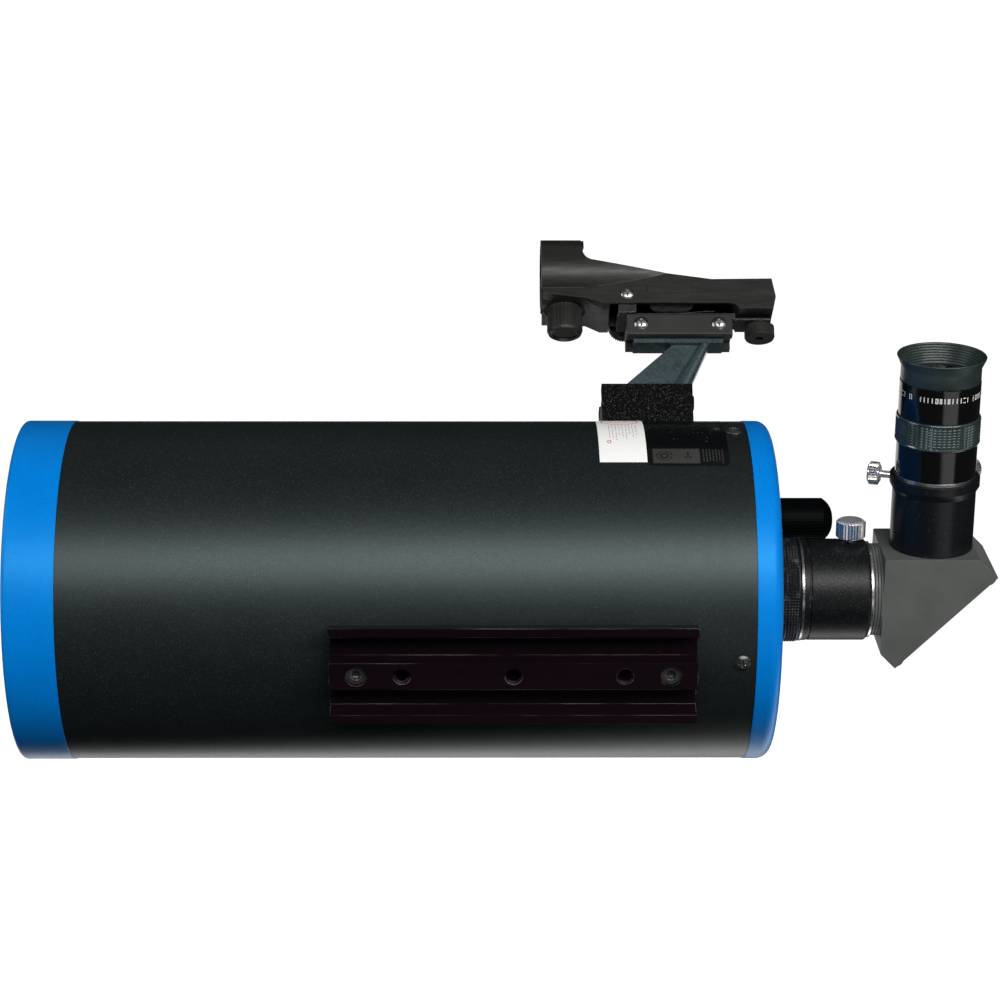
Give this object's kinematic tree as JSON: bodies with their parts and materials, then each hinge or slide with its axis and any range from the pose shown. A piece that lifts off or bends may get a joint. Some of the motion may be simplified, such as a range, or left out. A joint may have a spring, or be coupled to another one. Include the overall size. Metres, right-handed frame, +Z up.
{
  "type": "catadioptric telescope optical tube with finder and eyepiece",
  "caption": "Short closed-tube reflecting telescope with rear focuser, star diagonal, eyepiece and red-dot finder, on a dovetail plate.",
  "frame": {"origin": "centre of the dovetail plate's outer mounting face", "axes": "+X along the optical axis towards the eyepiece end, +Z up, +Y away from the dovetail side"},
  "size_m": [0.4233, 0.1658, 0.2335],
  "materials": {
    "tube_black": "satin powder coat",
    "cell_blue": "satin metallic paint",
    "anodised_black": "black anodised",
    "cast_black": "sandblasted black",
    "chrome_bright": "polished",
    "steel": "plain",
    "screw_black": "black oxide",
    "optical_glass": "coated",
    "mirror_glass": "aluminised",
    "plastic_black": "moulded",
    "gloss_black": "gloss lacquer",
    "rubber_black": "ribbed",
    "stem_dark": "gloss enamel",
    "brass": "turned",
    "label_white": "printed sticker",
    "label_dark": "printed film",
    "cork": "cork ring",
    "emitter_red": "lit diode"
  },
  "bodies": {
    "optical_tube": {"main_tube": "tube_black", "front_cell": "cell_blue", "rear_cell": "cell_blue", "corrector_plate": "optical_glass", "corrector_gasket": "cork", "corrector_retainer": "anodised_black", "retainer_screws": "screw_black", "secondary_holder": "plastic_black", "collimation_plate": "anodised_black", "collimation_screws": "steel", "secondary_mirror": "mirror_glass", "secondary_baffle": "anodised_black", "cell_screws": "screw_black", "primary_baffle": "anodised_black", "focus_bushing": "brass", "rear_neck": "anodised_black", "union_washer": "chrome_bright", "visual_back": "cast_black", "dovetail_plate": "anodised_black", "plate_screws": "screw_black", "caution_label": "label_white", "spec_label": "label_dark", "finder_shoe": "cast_black", "shoe_screws": "screw_black"},
    "focuser": {"focus_knob": "rubber_black", "focus_shaft": "steel"},
    "primary": {"primary_mirror": "mirror_glass", "mirror_carrier": "anodised_black", "mirror_lock_ring": "anodised_black"},
    "coupling_ring": {"coupling_ring": "cast_black"},
    "back_screw": {"visual_back_screw": "chrome_bright"},
    "diagonal": {"diagonal_nose": "chrome_bright", "diagonal_housing": "cast_black", "diagonal_prism": "optical_glass", "diagonal_cover": "cast_black", "cover_screws": "screw_black", "eyepiece_holder": "anodised_black"},
    "front_holder_screw": {"holder_screw_front": "chrome_bright"},
    "rear_holder_screw": {"holder_screw_rear": "chrome_bright"},
    "eyepiece": {"eyepiece_barrel": "chrome_bright", "eyepiece_body": "gloss_black", "eyepiece_grip": "rubber_black", "eyepiece_top": "gloss_black", "eyecup": "rubber_black", "field_lens": "optical_glass", "eye_lens": "optical_glass"},
    "finder_mount": {"finder_stem": "stem_dark", "finder_clamp": "plastic_black", "clamp_screws": "steel"},
    "shoe_screw": {"shoe_clamp_screw": "chrome_bright"},
    "finder_cradle": {"finder_cradle": "screw_black", "leaf_spring": "steel"},
    "finder": {"finder_body": "plastic_black", "finder_lens": "optical_glass", "finder_emitter": "emitter_red", "coin_cell": "steel"},
    "brightness_knob": {"brightness_knob": "plastic_black"},
    "altitude_knob": {"altitude_knob": "plastic_black"},
    "azimuth_wheel": {"azimuth_wheel": "plastic_black", "pivot_screw": "steel"}
  },
  "joints": [
    {"name": "focus_turn", "type": "hinge", "parent": "optical_tube", "child": "focuser", "pos_m": [0.13, 0.10274, 0.06394], "axis": [1, 0, 0], "range_deg": [-4681, 4681]},
    {"name": "mirror_travel", "type": "slide", "parent": "optical_tube", "child": "primary", "axis": [1, 0, 0], "range_m": [-0.00975, 0.00975]},
    {"name": "coupling_ring_turn", "type": "hinge", "parent": "optical_tube", "child": "coupling_ring", "pos_m": [0.12, 0.08075, 0.03345], "axis": [1, 0, 0], "range_deg": [0, 360]},
    {"name": "back_screw_turn", "type": "hinge", "parent": "optical_tube", "child": "back_screw", "pos_m": [0.1489, 0.07233, 0.06015], "axis": [0, -0.3007, 0.9537], "range_deg": [0, 720]},
    {"name": "diagonal_turn", "type": "hinge", "parent": "optical_tube", "child": "diagonal", "pos_m": [0.15, 0.08075, 0.03345], "axis": [1, 0, 0], "continuous": true},
    {"name": "front_holder_screw_turn", "type": "hinge", "parent": "diagonal", "child": "front_holder_screw", "pos_m": [0.16029, 0.06997, 0.08443], "axis": [-0.9563, 0.2747, 0.1], "range_deg": [-180, 540]},
    {"name": "rear_holder_screw_turn", "type": "hinge", "parent": "diagonal", "child": "rear_holder_screw", "pos_m": [0.20154, 0.07583, 0.08657], "axis": [0.788, 0.5785, 0.2106], "range_deg": [0, 720]},
    {"name": "eyepiece_slide", "type": "slide", "parent": "diagonal", "child": "eyepiece", "axis": [0, -0.342, 0.9397], "range_m": [0, 0.025]},
    {"name": "finder_slide", "type": "slide", "parent": "optical_tube", "child": "finder_mount", "axis": [1, 0, 0], "range_m": [-0.04, 0]},
    {"name": "shoe_screw_turn", "type": "hinge", "parent": "optical_tube", "child": "shoe_screw", "pos_m": [0.0614, 0.13525, 0.10753], "axis": [0, 0.9239, -0.3827], "range_deg": [0, 720]},
    {"name": "finder_pan", "type": "hinge", "parent": "finder_mount", "child": "finder_cradle", "pos_m": [0.092, 0.12973, 0.1517], "axis": [0, 0.3827, 0.9239], "range_deg": [-1, 1]},
    {"name": "finder_tilt", "type": "hinge", "parent": "finder_cradle", "child": "finder", "pos_m": [0.0538, 0.13394, 0.16187], "axis": [0, 0.9239, -0.3827], "range_deg": [-1, 1]},
    {"name": "azimuth_turn", "type": "hinge", "parent": "finder", "child": "azimuth_wheel", "pos_m": [0.0538, 0.14872, 0.15574], "axis": [0, 0.9239, -0.3827], "range_deg": [-481, 481]},
    {"name": "altitude_turn", "type": "hinge", "parent": "finder", "child": "altitude_knob", "pos_m": [0.1147, 0.12897, 0.14986], "axis": [0, 0.3827, 0.9239], "range_deg": [-766, 766]},
    {"name": "brightness_turn", "type": "hinge", "parent": "finder", "child": "brightness_knob", "pos_m": [0.0255, 0.1305, 0.15355], "axis": [0, 0.3827, 0.9239], "range_deg": [0, 270]}
  ],
  "couplings": [
    {"joint": "focus_turn", "follows": "mirror_travel", "rad_per_m": 8377.6},
    {"joint": "altitude_turn", "follows": "finder_tilt", "ratio": 765.29},
    {"joint": "azimuth_turn", "follows": "finder_pan", "ratio": 480.04}
  ]
}
